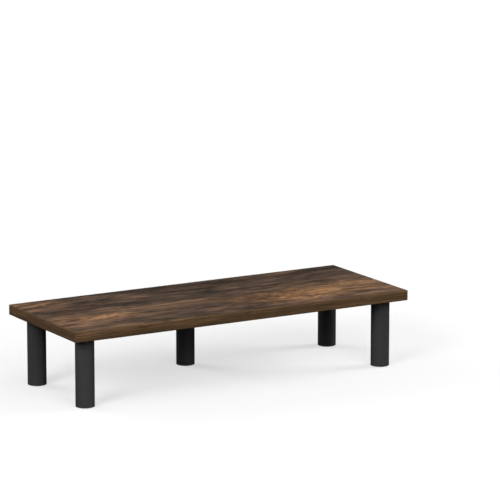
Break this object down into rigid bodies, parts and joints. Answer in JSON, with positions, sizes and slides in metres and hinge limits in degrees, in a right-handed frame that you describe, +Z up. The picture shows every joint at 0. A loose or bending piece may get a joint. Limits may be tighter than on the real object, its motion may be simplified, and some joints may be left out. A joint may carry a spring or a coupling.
{
  "type": "monitor riser stand",
  "caption": "Low desk riser: a flat wood-look laminated board on round black legs that screw into its underside, with open storage space below.",
  "frame": {"origin": "on the desk, under the middle of the board", "axes": "+X along the board to the right, +Y to the back edge with the middle leg, +Z up"},
  "size_m": [0.6, 0.228, 0.127],
  "materials": {
    "chipboard": "raw pressed wood chips",
    "top_laminate": "rustic brown wood-grain print, satin",
    "bottom_laminate": "dark brown wood-grain print, matt",
    "edge_band": "brown wood-grain printed edging, satin",
    "plated_steel": "zinc plated",
    "powder_coat": "fine matt black powder coat",
    "moulding": "black moulded nylon",
    "foot_rubber": "black rubber"
  },
  "bodies": {
    "board": {"board_core": "chipboard", "top_laminate": "top_laminate", "bottom_laminate": "bottom_laminate", "edge_band_front": "edge_band", "edge_band_right": "edge_band", "edge_band_back": "edge_band", "edge_band_left": "edge_band", "insert_nut_front_left": "plated_steel", "insert_nut_front_right": "plated_steel", "insert_nut_back_left": "plated_steel", "insert_nut_back_right": "plated_steel", "insert_nut_back_middle": "plated_steel"},
    "washer_front_left": {"leg_washer_front_left": "moulding"},
    "leg_front_left": {"leg_tube_front_left": "powder_coat", "leg_top_plug_front_left": "moulding", "leg_bolt_front_left": "plated_steel", "leg_foot_cap_front_left": "moulding", "foot_pad_front_left": "foot_rubber"},
    "washer_front_right": {"leg_washer_front_right": "moulding"},
    "leg_front_right": {"leg_tube_front_right": "powder_coat", "leg_top_plug_front_right": "moulding", "leg_bolt_front_right": "plated_steel", "leg_foot_cap_front_right": "moulding", "foot_pad_front_right": "foot_rubber"},
    "washer_back_left": {"leg_washer_back_left": "moulding"},
    "leg_back_left": {"leg_tube_back_left": "powder_coat", "leg_top_plug_back_left": "moulding", "leg_bolt_back_left": "plated_steel", "leg_foot_cap_back_left": "moulding", "foot_pad_back_left": "foot_rubber"},
    "washer_back_right": {"leg_washer_back_right": "moulding"},
    "leg_back_right": {"leg_tube_back_right": "powder_coat", "leg_top_plug_back_right": "moulding", "leg_bolt_back_right": "plated_steel", "leg_foot_cap_back_right": "moulding", "foot_pad_back_right": "foot_rubber"},
    "washer_back_middle": {"leg_washer_back_middle": "moulding"},
    "leg_back_middle": {"leg_tube_back_middle": "powder_coat", "leg_top_plug_back_middle": "moulding", "leg_bolt_back_middle": "plated_steel", "leg_foot_cap_back_middle": "moulding", "foot_pad_back_middle": "foot_rubber"}
  },
  "joints": [
    {"name": "travel_front_left", "type": "slide", "parent": "board", "child": "washer_front_left", "axis": [0, 0, -1], "range_m": [0, 0.0125]},
    {"name": "turn_front_left", "type": "hinge", "parent": "washer_front_left", "child": "leg_front_left", "pos_m": [-0.268, -0.082, 0.1086], "axis": [0, 0, -1], "range_deg": [0, 3601]},
    {"name": "travel_front_right", "type": "slide", "parent": "board", "child": "washer_front_right", "axis": [0, 0, -1], "range_m": [0, 0.0125]},
    {"name": "turn_front_right", "type": "hinge", "parent": "washer_front_right", "child": "leg_front_right", "pos_m": [0.268, -0.082, 0.1086], "axis": [0, 0, -1], "range_deg": [0, 3601]},
    {"name": "travel_back_left", "type": "slide", "parent": "board", "child": "washer_back_left", "axis": [0, 0, -1], "range_m": [0, 0.0125]},
    {"name": "turn_back_left", "type": "hinge", "parent": "washer_back_left", "child": "leg_back_left", "pos_m": [-0.268, 0.082, 0.1086], "axis": [0, 0, -1], "range_deg": [0, 3601]},
    {"name": "travel_back_right", "type": "slide", "parent": "board", "child": "washer_back_right", "axis": [0, 0, -1], "range_m": [0, 0.0125]},
    {"name": "turn_back_right", "type": "hinge", "parent": "washer_back_right", "child": "leg_back_right", "pos_m": [0.268, 0.082, 0.1086], "axis": [0, 0, -1], "range_deg": [0, 3601]},
    {"name": "travel_back_middle", "type": "slide", "parent": "board", "child": "washer_back_middle", "axis": [0, 0, -1], "range_m": [0, 0.0125]},
    {"name": "turn_back_middle", "type": "hinge", "parent": "washer_back_middle", "child": "leg_back_middle", "pos_m": [0, 0.082, 0.1086], "axis": [0, 0, -1], "range_deg": [0, 3601]}
  ],
  "couplings": [
    {"joint": "turn_front_left", "follows": "travel_front_left", "rad_per_m": 5026.5},
    {"joint": "turn_front_right", "follows": "travel_front_right", "rad_per_m": 5026.5},
    {"joint": "turn_back_left", "follows": "travel_back_left", "rad_per_m": 5026.5},
    {"joint": "turn_back_right", "follows": "travel_back_right", "rad_per_m": 5026.5},
    {"joint": "turn_back_middle", "follows": "travel_back_middle", "rad_per_m": 5026.5}
  ]
}
